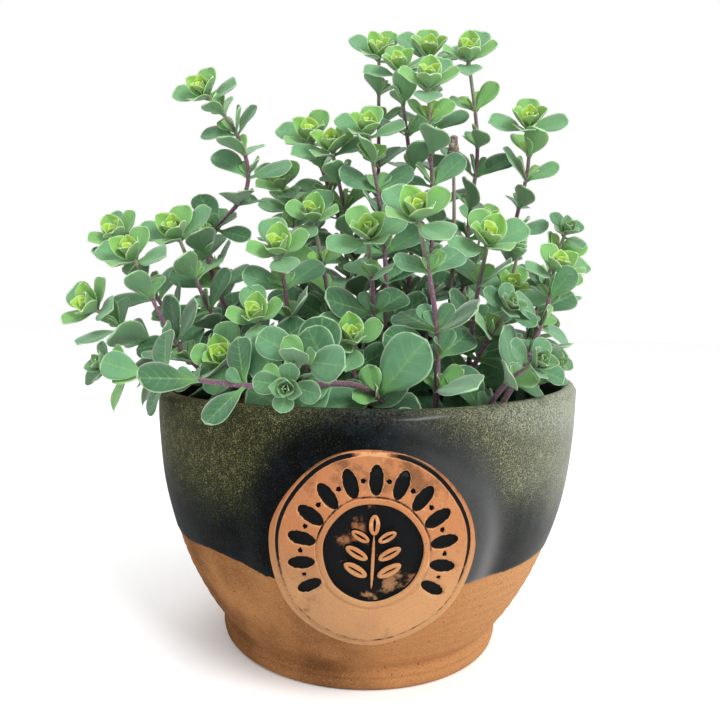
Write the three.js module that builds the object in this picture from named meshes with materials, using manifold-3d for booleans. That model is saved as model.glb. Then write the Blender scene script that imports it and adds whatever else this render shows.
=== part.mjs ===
// Potted marjoram: a thrown clay pot with an applied medallion, soil and leafy shoots.
// Millimetres, +Z up, origin at the centre of the pot's flat foot. The medallion faces -Y.

import * as THREE from 'three';
import { mergeVertices } from 'three/addons/utils/BufferGeometryUtils.js';
import Module from 'manifold-3d';

const wasm = await Module();
wasm.setup();

// Driving dimensions of the pot
const potHeight = 93;
const rimRadius = 75;
const footRadius = 51;
const footHeight = 8;
const wallThickness = 4.5;
const floorThickness = 7;
const wallFullness = 2.5;
const rimRise = 4;
const rimDip = 3.4;
const rimBend = 1.5;
const unevenFrom = 50;
const potSides = 40;
const wallRows = 9;

// Driving dimensions of the medallion
const medallionRadius = 29;
const medallionHeight = 53.5;
const medallionStretch = 1.075;
const medallionThickness = 3;
const medallionFlare = 2;
const grooveRadius = 25.5;
const grooveWidth = 1.4;
const sunkRadius = 14;
const reliefDepth = 1.2;
const medallionSides = 32;

// Driving dimensions of the plant
const soilTop = 80;
const rootDepth = 6;
const stemRadius = 1;
const stemSides = 4;
const stemStep = 12;
const nodeSpacing = 15;
const leafLength = 14;
const leafWidth = 9;
const leafThickness = 1;
const leafCup = 0.18;
const gap = 0.3;
const finestGrid = 0.004;

// Each shoot's route from the soil to its tip, chosen by hand. The first leaves grow
// at the share of the stem given by bare, and kind is leafy, budding or dry.
const shoots = [
  { name: 'shoot_left_tall', bare: 0.3,
    route: [[-38, 8, 80], [-52, 6, 112], [-61, 2, 140], [-47, 0, 162], [-50, -2, 180], [-62, -4, 195]] },
  { name: 'shoot_left_inner', bare: 0.35, route: [[-34, -6, 80], [-56, -7, 113], [-71, -6, 145]] },
  { name: 'shoot_left_front', bare: 0.4, route: [[-44, -16, 80], [-68, -19, 107], [-83, -18, 136]] },
  { name: 'shoot_left_outer', bare: 0.4, route: [[-46, 4, 80], [-73, 4, 111], [-94, 2, 143]] },
  { name: 'shoot_left_low', bare: 0.4,
    route: [[-52, -6, 80], [-64, -10, 101], [-84, -14, 108], [-98, -14, 117]] },
  { name: 'shoot_trailing', bare: 0.25,
    route: [[12, -42, 80], [-4, -58, 97], [-30, -65, 97], [-58, -50, 97], [-78, -32, 96], [-90, -25, 98]] },
  { name: 'shoot_front_hanging', bare: 0.5, route: [[-16, -46, 80], [-20, -62, 104], [-24, -80, 99]] },
  { name: 'shoot_front_left_low', bare: 0.35,
    route: [[-38, -26, 80], [-44, -32, 92], [-48, -36, 102]] },
  { name: 'shoot_front_left', bare: 0.35, route: [[-28, -34, 80], [-34, -35, 100], [-38, -36, 117]] },
  { name: 'shoot_middle_left_front', bare: 0.3,
    route: [[-24, -20, 80], [-28, -22, 112], [-32, -24, 138]] },
  { name: 'shoot_middle_left', bare: 0.3, route: [[-14, -8, 80], [-15, -8, 118], [-22, -8, 153]] },
  { name: 'shoot_middle_back_left', bare: 0.3, route: [[-10, 16, 80], [-9, 14, 138], [-24, 12, 184]] },
  { name: 'shoot_centre_left', bare: 0.3, route: [[-2, 4, 80], [-5, 4, 130], [-16, 2, 178]] },
  { name: 'shoot_centre', bare: 0.3, route: [[6, -6, 80], [5, -4, 136], [-3, -6, 183]] },
  { name: 'shoot_centre_front', bare: 0.3, route: [[0, -26, 80], [0, -30, 118], [-3, -34, 143]] },
  { name: 'shoot_front_centre_low', bare: 0.35,
    route: [[-4, -42, 80], [-6, -45, 97], [-7, -46, 110]] },
  { name: 'shoot_front_right', bare: 0.3, route: [[19, -50, 80], [18, -51, 115], [11, -49, 149]] },
  { name: 'shoot_tall_middle', bare: 0.35, route: [[12, 12, 80], [16, 11, 155], [8, 8, 210]] },
  { name: 'shoot_tall_right_middle', bare: 0.35, route: [[20, -4, 80], [22, -2, 146], [18, -5, 201]] },
  { name: 'shoot_tall_back_left', bare: 0.35, route: [[2, 28, 80], [3, 28, 158], [1, 22, 220]] },
  { name: 'shoot_tall_back', bare: 0.35, route: [[24, 26, 80], [26, 24, 156], [20, 18, 219]] },
  { name: 'shoot_tall_right', bare: 0.35,
    route: [[34, 12, 80], [38, 12, 153], [40, 12, 184], [34, 8, 217]] },
  { name: 'shoot_right_back', bare: 0.35,
    route: [[46, 8, 80], [54, 8, 146], [59, 8, 175], [57, 4, 191]] },
  { name: 'shoot_right_middle', bare: 0.3, route: [[33, -24, 80], [34, -26, 117], [37, -29, 143]] },
  { name: 'shoot_right_front', bare: 0.35,
    route: [[36, -40, 80], [49, -37, 103], [57, -31, 121], [61, -27, 135]] },
  { name: 'shoot_right_outer', bare: 0.4, route: [[54, 0, 80], [64, -1, 126], [72, -2, 151]] },
  { name: 'shoot_right_low', bare: 0.4, route: [[48, -20, 80], [56, -22, 94], [64, -24, 103]] },
  { name: 'shoot_right_inner_low', bare: 0.35, route: [[26, -33, 80], [35, -34, 106], [43, -38, 122]] },
  { name: 'shoot_front_right_low', bare: 0.4, route: [[28, -54, 80], [37, -58, 98], [46, -60, 106]] },
  { name: 'shoot_budding', kind: 'budding', bare: 0.4,
    route: [[44, -8, 80], [48, -10, 119], [53, -12, 147]] },
  { name: 'dry_seed_head', kind: 'dry', bare: 0.85,
    route: [[29, 4, 80], [31, 3, 140], [29, 1, 180]] },
  { name: 'shoot_back_left', bare: 0.3, route: [[-22, 38, 80], [-28, 44, 125], [-33, 48, 163]] },
  { name: 'shoot_back_far_left', bare: 0.35, route: [[-42, 28, 80], [-58, 34, 118], [-70, 38, 148]] },
  { name: 'shoot_back_middle_left', bare: 0.3, route: [[-22, 20, 80], [-25, 22, 130], [-36, 22, 168]] },
  { name: 'shoot_back_right', bare: 0.3, route: [[34, 42, 80], [44, 46, 125], [52, 50, 160]] },
  { name: 'shoot_back_far_right', bare: 0.35, route: [[54, 22, 80], [68, 26, 110], [80, 30, 134]] },
  { name: 'shoot_back_middle', bare: 0.3, route: [[12, 46, 80], [13, 50, 125], [15, 54, 158]] },
];

const materials = {
  pot: new THREE.MeshStandardMaterial({ color: 0x2b2f2a, roughness: 0.5, metalness: 0 }),
  clay: new THREE.MeshStandardMaterial({ color: 0x9a5a35, roughness: 0.85, metalness: 0 }),
  soil: new THREE.MeshStandardMaterial({ color: 0x2a211a, roughness: 1, metalness: 0 }),
  leafy: new THREE.MeshStandardMaterial({ color: 0x6f9455, roughness: 0.7, metalness: 0 }),
  budding: new THREE.MeshStandardMaterial({ color: 0x77803f, roughness: 0.8, metalness: 0 }),
  dry: new THREE.MeshStandardMaterial({ color: 0x8d877b, roughness: 0.9, metalness: 0 }),
};

// A repeatable value from 0 to 1 for each whole number.
function scatter(index) {
  const wave = Math.sin(index * 12.9898) * 43758.5453;
  return wave - Math.floor(wave);
}

function toSolid(geometry) {
  geometry.deleteAttribute('normal');
  geometry.deleteAttribute('uv');
  const merged = mergeVertices(geometry);
  return new wasm.Manifold(new wasm.Mesh({
    numProp: 3,
    vertProperties: new Float32Array(merged.attributes.position.array),
    triVerts: new Uint32Array(merged.index.array),
  }));
}

function toMesh(name, solid, material) {
  const result = solid.getMesh();
  const geometry = new THREE.BufferGeometry();
  const position = new THREE.BufferAttribute(result.vertProperties, result.numProp);
  geometry.setAttribute('position', position);
  geometry.setIndex(new THREE.BufferAttribute(result.triVerts, 1));
  geometry.computeVertexNormals();
  const mesh = new THREE.Mesh(geometry, material);
  mesh.name = name;
  return mesh;
}

// The same solid with its vertices on a fine grid, so that joins leave no tiny edges.
function snapped(solid) {
  const result = solid.getMesh();
  const geometry = new THREE.BufferGeometry();
  const onGrid = result.vertProperties.map((value) => Math.round(value / finestGrid) * finestGrid);
  geometry.setAttribute('position', new THREE.BufferAttribute(onGrid, result.numProp));
  geometry.setIndex(new THREE.BufferAttribute(result.triVerts, 1));
  const merged = mergeVertices(geometry, finestGrid / 4);
  const triangles = [];
  for (let start = 0; start < merged.index.count; start += 3) {
    const corners = Array.from(merged.index.array.slice(start, start + 3));
    if (new Set(corners).size === 3) {
      triangles.push(...corners);
    }
  }
  return new wasm.Manifold(new wasm.Mesh({
    numProp: 3,
    vertProperties: new Float32Array(merged.attributes.position.array),
    triVerts: new Uint32Array(triangles),
  }));
}

// A solid turned about the Z axis from a list of [radius, height], foot first. The rise of each
// point, from its x and its height, makes the turned shape uneven.
function turned(profile, sides, rise = () => 0) {
  const points = profile.map(([radius, height]) => new THREE.Vector2(radius, height));
  const geometry = new THREE.LatheGeometry(points, sides);
  geometry.rotateX(Math.PI / 2);
  const position = geometry.attributes.position;
  for (let index = 0; index < position.count; index += 1) {
    const height = position.getZ(index);
    position.setZ(index, height + rise(position.getX(index), height));
  }
  return toSolid(geometry);
}

// The hand-thrown rim isn't level: it rises towards +X and dips towards -X.
function rimUnevenness(x, height) {
  const lift = Math.max(0, (height - unevenFrom) / (potHeight - unevenFrom)) ** 2;
  const across = x / rimRadius;
  const amount = across > 0 ? rimRise : -rimDip;
  return lift * amount * Math.abs(across) ** rimBend;
}

// A bar along Y, centred on the medallion and stretched a little upright, as the clay disc is.
function frontBar(radius) {
  const geometry = new THREE.CylinderGeometry(radius, radius, rimRadius, medallionSides);
  geometry.translate(0, -rimRadius, 0);
  geometry.scale(1, 1, medallionStretch);
  return toSolid(geometry).translate([0, 0, medallionHeight]);
}

// The outer wall swells quickly above the foot and is nearly upright at the rim.
function wallRadius(height) {
  const share = (height - footHeight) / (potHeight - footHeight);
  return footRadius + (rimRadius - footRadius) * (1 - (1 - share) ** wallFullness);
}

function wallHeights(from, to, rows) {
  return Array.from({ length: rows + 1 }, (_, row) => from + ((to - from) * row) / rows);
}

function makePot() {
  const outside = wallHeights(footHeight, potHeight - 2, wallRows);
  const inside = wallHeights(floorThickness + footHeight, potHeight - 2, wallRows - 3).reverse();
  const profile = [
    [0, 0],
    [footRadius - 2, 0],
    [footRadius, 2],
    [footRadius, footHeight - 2],
    ...outside.map((height) => [wallRadius(height), height]),
    [rimRadius - 1, potHeight],
    [rimRadius - wallThickness + 1, potHeight],
    ...inside.map((height) => [wallRadius(height) - wallThickness, height]),
    [0, floorThickness],
  ];
  return turned(profile, potSides, rimUnevenness);
}

function makeSoil(sockets) {
  const heights = wallHeights(floorThickness + footHeight, soilTop, wallRows - 4);
  const profile = [
    [0, floorThickness + gap],
    ...heights.map((height) => [wallRadius(height) - wallThickness - 2 * gap, height + gap]),
    [rimRadius * 0.5, soilTop],
    [0, soilTop],
  ];
  return turned(profile, potSides).subtract(wasm.Manifold.union(sockets));
}

// The disc follows the wall and stands further out towards its lower edge.
function makeMedallion() {
  const low = medallionHeight - medallionRadius * medallionStretch;
  const high = medallionHeight + medallionRadius * medallionStretch;
  const heights = wallHeights(footHeight, potHeight - 2, wallRows);
  const shell = (offset, flare) => turned([
    [0, footHeight],
    ...heights.map((height) => {
      const share = (high - height) / (high - low);
      return [wallRadius(height) + offset + flare * share, height];
    }),
    [0, potHeight - 2],
  ], potSides);
  const face = shell(medallionThickness, medallionFlare);
  const sunkFace = shell(medallionThickness - reliefDepth, medallionFlare);
  const grooveInside = frontBar(grooveRadius - grooveWidth / 2);
  const groove = frontBar(grooveRadius + grooveWidth / 2).subtract(grooveInside);
  const relief = groove.add(frontBar(sunkRadius)).subtract(sunkFace);
  return frontBar(medallionRadius).intersect(face).subtract(shell(gap, 0)).subtract(relief);
}

function shootCurve(route, depth) {
  const points = route.map(([x, y, z]) => new THREE.Vector3(x, y, z));
  points.unshift(points[0].clone());
  points[0].z -= depth;
  return new THREE.CatmullRomCurve3(points, false, 'centripetal');
}

function stemSteps(curve) {
  return Math.ceil(curve.getLength() / stemStep);
}

function makeStem(route, radius, depth) {
  const curve = shootCurve(route, depth);
  const section = new THREE.Shape();
  for (let side = 0; side < stemSides; side += 1) {
    const angle = (side / stemSides) * 2 * Math.PI;
    section[side === 0 ? 'moveTo' : 'lineTo'](radius * Math.cos(angle), radius * Math.sin(angle));
  }
  section.closePath();
  return toSolid(new THREE.ExtrudeGeometry(section, {
    steps: stemSteps(curve),
    bevelEnabled: false,
    extrudePath: curve,
  }));
}

// A cupped kite-shaped leaf, widest past its middle. It starts inside the stem.
function makeLeaf(base, along, face, length, width) {
  const across = new THREE.Vector3().crossVectors(along, face).normalize();
  const place = (forward, sideways, lift) => base.clone()
    .addScaledVector(along, forward * length)
    .addScaledVector(across, sideways * width)
    .addScaledVector(face, lift);
  const cup = leafCup * width;
  const corners = [
    place(0, 0, 0),
    place(0.62, 0.5, cup),
    place(1, 0, cup * 0.5),
    place(0.62, -0.5, cup),
    place(0.6, 0, leafThickness / 2),
    place(0.6, 0, -leafThickness / 2),
  ];
  const outline = 4;
  const upper = outline;
  const lower = outline + 1;
  const triangles = [];
  for (let corner = 0; corner < outline; corner += 1) {
    const next = (corner + 1) % outline;
    triangles.push(corner, next, upper, next, corner, lower);
  }
  const geometry = new THREE.BufferGeometry();
  const coordinates = corners.flatMap((corner) => corner.toArray());
  geometry.setAttribute('position', new THREE.Float32BufferAttribute(coordinates, 3));
  geometry.setIndex(triangles);
  return toSolid(geometry);
}

// Where every leaf of a shoot grows: crossed pairs up the stem, then a tight tip of smaller pairs.
function leafPlaces(shoot, shootIndex) {
  const curve = shootCurve(shoot.route, rootDepth);
  const length = curve.getLength();
  const kind = shoot.kind ?? 'leafy';
  const size = kind === 'leafy' ? 1 : 0.4;
  const pairs = Math.max(1, Math.round(((1 - shoot.bare) * length) / nodeSpacing));
  const places = [];
  const addPair = (share, turn, spread, scale) => {
    for (const side of [0, Math.PI]) {
      const chance = scatter(shootIndex * 53 + places.length) - 0.5;
      places.push({
        share: share - 0.01 * Math.abs(chance),
        turn: turn + side + 0.3 * chance,
        spread: spread + 0.2 * chance,
        scale: scale * size,
      });
    }
  };
  for (let pair = 0; pair < pairs; pair += 1) {
    const chance = scatter(shootIndex * 31 + pair);
    const share = shoot.bare + (0.97 - shoot.bare) * (pair / pairs);
    addPair(share, pair * Math.PI / 2 + shootIndex + 0.5 * chance, 1 + 0.3 * chance, 0.85 + 0.3 * chance);
  }
  addPair(0.97, pairs * Math.PI / 2 + shootIndex, 0.8, 0.75);
  addPair(0.99, (pairs + 1) * Math.PI / 2 + shootIndex, 0.45, 0.5);
  return { curve, places };
}

// A leaf turned about its stem by turn and leaning away from it by spread. Its base lies on
// the straight step of the stem bar, so that the two always join.
function leafAt(curve, { share, turn, spread, scale }) {
  const steps = stemSteps(curve);
  const step = Math.min(Math.floor(share * steps), steps - 1);
  const stepEnd = curve.getPointAt((step + 1) / steps);
  const base = curve.getPointAt(step / steps).lerp(stepEnd, share * steps - step);
  const stem = curve.getTangentAt(share);
  const sideways = new THREE.Vector3(1, 0, 0).addScaledVector(stem, -stem.x).normalize();
  const outward = sideways.applyAxisAngle(stem, turn);
  const along = outward.clone().multiplyScalar(Math.sin(spread)).addScaledVector(stem, Math.cos(spread));
  const face = outward.clone().multiplyScalar(-Math.cos(spread)).addScaledVector(stem, Math.sin(spread));
  return makeLeaf(base, along, face, leafLength * scale, leafWidth * scale);
}

function boxesMeet(first, second) {
  return [0, 1, 2].every((axis) => first.min[axis] - gap < second.max[axis]
    && second.min[axis] - gap < first.max[axis]);
}

function isClear(solid, others) {
  const box = solid.boundingBox();
  const near = others.filter((other) => boxesMeet(box, other.boundingBox()));
  return near.every((other) => solid.minGap(other, 2 * gap) >= gap);
}

// A leaf that meets a neighbour is turned a little, then left out.
function addLeaves(shoot, shootIndex, stem, others) {
  const { curve, places } = leafPlaces(shoot, shootIndex);
  const leaves = [];
  for (const place of places) {
    for (const nudge of [0, 0.45, -0.45]) {
      const leaf = leafAt(curve, { ...place, turn: place.turn + nudge });
      if (isClear(leaf, others)) {
        leaves.push(leaf);
        break;
      }
    }
  }
  return snapped(wasm.Manifold.union([stem, ...leaves]));
}

const pot = makePot();
const medallion = makeMedallion();
const stems = shoots.map((shoot) => makeStem(shoot.route, stemRadius, rootDepth));
const sockets = shoots.map((shoot) => makeStem(shoot.route, stemRadius + 2 * gap, rootDepth + 2 * gap));
const soil = makeSoil(sockets);

const plant = [...stems];
shoots.forEach((shoot, index) => {
  const others = [pot, medallion, soil, ...plant.filter((_, other) => other !== index)];
  plant[index] = addLeaves(shoot, index, stems[index], others);
});

const pottedMarjoram = new THREE.Group();
pottedMarjoram.add(toMesh('pot', pot, materials.pot));
pottedMarjoram.add(toMesh('medallion', medallion, materials.clay));
pottedMarjoram.add(toMesh('soil', soil, materials.soil));
shoots.forEach((shoot, index) => {
  pottedMarjoram.add(toMesh(shoot.name, plant[index], materials[shoot.kind ?? 'leafy']));
});

export default pottedMarjoram;
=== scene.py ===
import bpy
import math
import random
from mathutils import Matrix, Quaternion, Vector, noise


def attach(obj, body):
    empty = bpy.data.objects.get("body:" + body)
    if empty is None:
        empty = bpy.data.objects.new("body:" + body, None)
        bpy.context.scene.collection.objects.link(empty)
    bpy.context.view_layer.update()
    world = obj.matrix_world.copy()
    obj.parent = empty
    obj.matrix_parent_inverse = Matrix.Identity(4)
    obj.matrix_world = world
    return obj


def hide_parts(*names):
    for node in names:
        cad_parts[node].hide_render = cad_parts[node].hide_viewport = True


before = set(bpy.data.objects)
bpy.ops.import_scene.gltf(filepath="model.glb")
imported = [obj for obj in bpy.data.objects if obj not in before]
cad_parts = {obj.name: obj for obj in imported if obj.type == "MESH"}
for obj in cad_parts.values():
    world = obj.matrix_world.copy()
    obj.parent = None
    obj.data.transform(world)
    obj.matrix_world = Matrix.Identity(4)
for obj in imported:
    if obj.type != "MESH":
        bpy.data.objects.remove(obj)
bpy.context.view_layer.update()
mm = 0.001  # routes and sizes below are in millimetres


class Value:
    def __init__(self, finish, socket):
        self.finish = finish
        self.socket = socket

    def math(self, operation, first, second):
        return self.finish.node("ShaderNodeMath", {"operation": operation}, {0: first, 1: second})

    def __add__(self, other):
        return self.math("ADD", self, other)

    def __radd__(self, other):
        return self.math("ADD", other, self)

    def __sub__(self, other):
        return self.math("SUBTRACT", self, other)

    def __rsub__(self, other):
        return self.math("SUBTRACT", other, self)

    def __mul__(self, other):
        return self.math("MULTIPLY", self, other)


class Finish:
    def __init__(self, name, **constants):
        self.material = bpy.data.materials.new(name)
        self.material.use_nodes = True
        self.tree = self.material.node_tree
        self.shader = self.tree.nodes["Principled BSDF"]
        for socket, value in constants.items():
            self.shader.inputs[socket.replace("_", " ")].default_value = value

    def feed(self, socket, value):
        if isinstance(value, Value):
            self.tree.links.new(value.socket, socket)
        else:
            socket.default_value = value

    def node(self, kind, settings=None, inputs=None, output=0):
        made = self.tree.nodes.new(kind)
        for name, value in (settings or {}).items():
            setattr(made, name, value)
        for key, value in (inputs or {}).items():
            self.feed(made.inputs[key], value)
        return Value(self, made.outputs[output])

    def attribute(self, name):
        return self.node("ShaderNodeAttribute", {"attribute_name": name}, output="Fac")

    def place(self):
        return self.node("ShaderNodeTexCoord", output="Object")

    def placeInMillimetres(self):
        place = self.place()
        return [self.node("ShaderNodeSeparateXYZ", {}, {0: place}, output=axis) * (1 / mm) for axis in "XYZ"]

    def cloud(self, scale, detail=3, rough=0.55):
        return self.node("ShaderNodeTexNoise", {},
                         {"Vector": self.place(), "Scale": scale, "Detail": detail, "Roughness": rough})

    def step(self, value, low, high):
        return self.node("ShaderNodeMapRange", {"interpolation_type": "SMOOTHSTEP"},
                         {"Value": value, "From Min": low, "From Max": high})

    def mix(self, share, first, second):
        colours = [c if isinstance(c, Value) else (*c, 1) for c in (first, second)]
        # sockets 0, 6 and 7 of a colour Mix are its factor and two colours, and output 2 is its colour
        return self.node("ShaderNodeMix", {"data_type": "RGBA"},
                         {0: share, 6: colours[0], 7: colours[1]}, output=2)

    def finish(self, colour, roughness, height, strength, distance):
        self.feed(self.shader.inputs["Base Color"], colour)
        self.feed(self.shader.inputs["Roughness"], roughness)
        bump = self.node("ShaderNodeBump", {}, {"Height": height, "Strength": strength, "Distance": distance})
        self.feed(self.shader.inputs["Normal"], bump)
        return self.material


def smooth(low, high, value):
    share = min(1.0, max(0.0, (value - low) / (high - low)))
    return share * share * (3 - 2 * share)


def wobble(x, y, z, scale, seed=0.0):
    return noise.noise(Vector((x * scale + seed, y * scale - seed, z * scale + 2 * seed)))


def gridFaces(rows, columns, start=0, closed=True):
    faces = []
    for row in range(rows - 1):
        for column in range(columns if closed else columns - 1):
            beside = (column + 1) % columns
            low = start + row * columns
            high = low + columns
            faces.append((low + column, low + beside, high + beside, high + column))
    return faces


def makePiece(name, vertices, faces, materials, materialOf=None, attributes=None):
    mesh = bpy.data.meshes.new(name)
    mesh.from_pydata([Vector(v) * mm for v in vertices], [], faces)
    for material in materials:
        mesh.materials.append(material)
    if materialOf:
        mesh.polygons.foreach_set("material_index", materialOf)
    for label, values in (attributes or {}).items():
        layer = mesh.attributes.new(label, "FLOAT", "POINT")
        layer.data.foreach_set("value", values)
    mesh.shade_smooth()
    piece = bpy.data.objects.new(name, mesh)
    bpy.context.scene.collection.objects.link(piece)
    return piece


potShape = {
    "height": 93, "rim": 75, "foot": 51, "footHeight": 8, "wall": 4.5, "floor": 7, "fullness": 2.5,
    "sides": 288, "glazeLine": 42, "glazeDip": 0.5, "glazeThickness": 0.4,
    "rimRise": 4, "rimDip": 3.4, "rimBend": 1.5, "unevenFrom": 50,
    "bulge": 2.4, "bulgeReach": 10, "outsideRings": 110, "insideRings": 36, "insideBottom": 15,
    "insideCorner": 10, "insideFlat": 30,
}


def wallRadius(height):
    shape = potShape
    share = (height - shape["footHeight"]) / (shape["height"] - shape["footHeight"])
    share = min(1.0, max(0.0, share))
    return shape["foot"] + (shape["rim"] - shape["foot"]) * (1 - (1 - share) ** shape["fullness"])


# how far above the lower edge of the glaze a point lies; the edge sweeps, with soft drips
def aboveGlazeLine(angle, height):
    sweep = 1.6 * math.sin(2 * angle + 0.8) + 0.9 * math.sin(5 * angle) + 0.5 * math.sin(11 * angle + 2)
    front = potShape["glazeDip"] * max(0.0, -math.sin(angle)) ** 3
    return height - potShape["glazeLine"] - sweep - front


# the wall swells softly around the applied medallion
def medallionBulge(x, y, height):
    if y > 0:
        return 0.0
    rise = (height - medallionShape["height"]) / medallionShape["stretch"]
    away = math.hypot(x, rise) - medallionShape["radius"]
    return potShape["bulge"] * (1 - smooth(0, potShape["bulgeReach"], away))


# the thrown rim isn't level: it rises to the right and dips at the left
def rimUnevenness(x, height):
    shape = potShape
    lift = max(0.0, (height - shape["unevenFrom"]) / (shape["height"] - shape["unevenFrom"])) ** 2
    across = x / shape["rim"]
    amount = shape["rimRise"] if across > 0 else -shape["rimDip"]
    return lift * amount * abs(across) ** shape["rimBend"]


def potProfile():
    shape = potShape
    top = shape["height"] - 2
    rings, low = shape["outsideRings"], shape["insideBottom"]
    outside = [shape["footHeight"] + (top - shape["footHeight"]) * i / rings for i in range(rings + 1)]
    rings = shape["insideRings"]
    inside = [top - (top - low) * i / rings for i in range(rings + 1)]
    foot = shape["foot"]
    # each point is a radius, a height and a zone: 0 foot, 1 outer wall, 2 lip, 3 inside
    profile = [(0.01, 0, 0), (foot * 0.5, 0, 0), (foot - 3, 0, 0)]
    profile += [(foot - 2.2 + 2.2 * math.sin(a), 2.2 - 2.2 * math.cos(a), 0) for a in
                (0.2, 0.5, 0.8, 1.1, 1.4)]
    profile += [(foot + 0.3, 3.4, 0), (foot + 0.15, 4.1, 0), (foot - 0.25, 4.4, 0), (foot + 0.1, 4.8, 0),
                (foot + 0.1, 5.6, 0), (foot - 0.3, 6.3, 0), (foot - 1.0, 6.9, 0), (foot - 1.15, 7.4, 0)]
    profile += [(wallRadius(h) - 0.9 * (1 - smooth(0, 3, h - 8)), h, 1) for h in outside]
    lip = shape["wall"] / 2 - 0.2
    centre = shape["rim"] - lip - 0.2
    profile += [(centre + lip * math.cos(a), shape["height"] - 2 + 2 * math.sin(a), 2) for a in
                (0.35, 0.7, 1.05, 1.4, 1.75, 2.1, 2.45, 2.8)]
    profile += [(wallRadius(h) - shape["wall"], h, 3) for h in inside]
    profile.append((wallRadius(low) - shape["wall"] - 4, shape["insideCorner"], 3))
    profile.append((shape["insideFlat"], shape["floor"], 3))
    profile.append((0.01, shape["floor"], 3))
    return profile


def makePot():
    shape = potShape
    profile = potProfile()
    sides = shape["sides"]
    vertices, glazed, inner = [], [], []
    for radius, height, zone in profile:
        for side in range(sides):
            angle = 2 * math.pi * side / sides
            above = aboveGlazeLine(angle, height)
            r, h = radius, height
            if zone == 1:
                # throwing rings show in the bare clay, and the glaze stands a little proud
                bare = 1 - smooth(-2, 1, above)
                ring = math.sin(height * 1.7 + 0.6 * math.sin(angle)) + 0.5 * math.sin(height * 3.9 + 1)
                r += 0.13 * ring * bare + shape["glazeThickness"] * smooth(-0.25, 0.5, above)
                x, y = radius * math.cos(angle), radius * math.sin(angle)
                r += 0.3 * wobble(x, y, height, 0.05) + medallionBulge(x, y, height)
            h += rimUnevenness(r * math.cos(angle), height)
            vertices.append((r * math.cos(angle), r * math.sin(angle), h))
            glazed.append(above if zone else -20.0)
            inner.append(1.0 if zone == 3 else 0.0)
    faces = gridFaces(len(profile), sides)
    last = (len(profile) - 1) * sides
    faces.append(tuple(range(sides - 1, -1, -1)))
    faces.append(tuple(range(last, last + sides)))
    pot = makePiece("glazed_pot", vertices, faces, [makePotFinish()], None,
                    {"aboveGlaze": glazed, "inside": inner})
    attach(pot, "root")
    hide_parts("pot")


potColours = {
    "black": (0.001, 0.0015, 0.002), "blueBlack": (0.003, 0.006, 0.009), "mossBase": (0.018, 0.023, 0.014),
    "olive": (0.12, 0.11, 0.028), "paleOlive": (0.29, 0.275, 0.10), "ash": (0.36, 0.39, 0.31),
    "clay": (0.39, 0.18, 0.068), "darkClay": (0.13, 0.052, 0.019), "paleClay": (0.60, 0.34, 0.17),
    "redClay": (0.42, 0.155, 0.066), "speck": (0.045, 0.02, 0.011),
}


# grainy thrown clay: browner to the left, paler to the right; the change from left to right is painted light
# falling from the right
def bareClay(finish, sideways):
    c = potColours
    broad = finish.cloud(24, 4) + finish.step(sideways, -60, 60) * 0.3 - 0.1
    base = finish.mix(finish.step(broad, 0.26, 0.66), c["darkClay"], c["clay"])
    base = finish.mix(finish.step(sideways, 15, 70) * 0.5, base, c["paleClay"])
    grain = finish.cloud(2200, 3, 0.75)
    base = finish.mix(finish.step(grain, 0.52, 0.68) * 0.42, base, c["paleClay"])
    darkGrain = finish.step(finish.cloud(2400, 3, 0.75), 0.52, 0.64)
    base = finish.mix(darkGrain * 0.6, base, c["darkClay"])
    specks = finish.step(finish.cloud(1300, 2, 0.6), 0.66, 0.71)
    return finish.mix(specks * 0.9, base, c["speck"]), grain


# how far a point on the front lies from the medallion's middle
def awayFromMedallion(finish, sideways, height):
    rise = (height - medallionShape["height"]) * (1 / medallionShape["stretch"])
    return finish.node("ShaderNodeMath", {"operation": "SQRT"}, {0: sideways * sideways + rise * rise})


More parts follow.
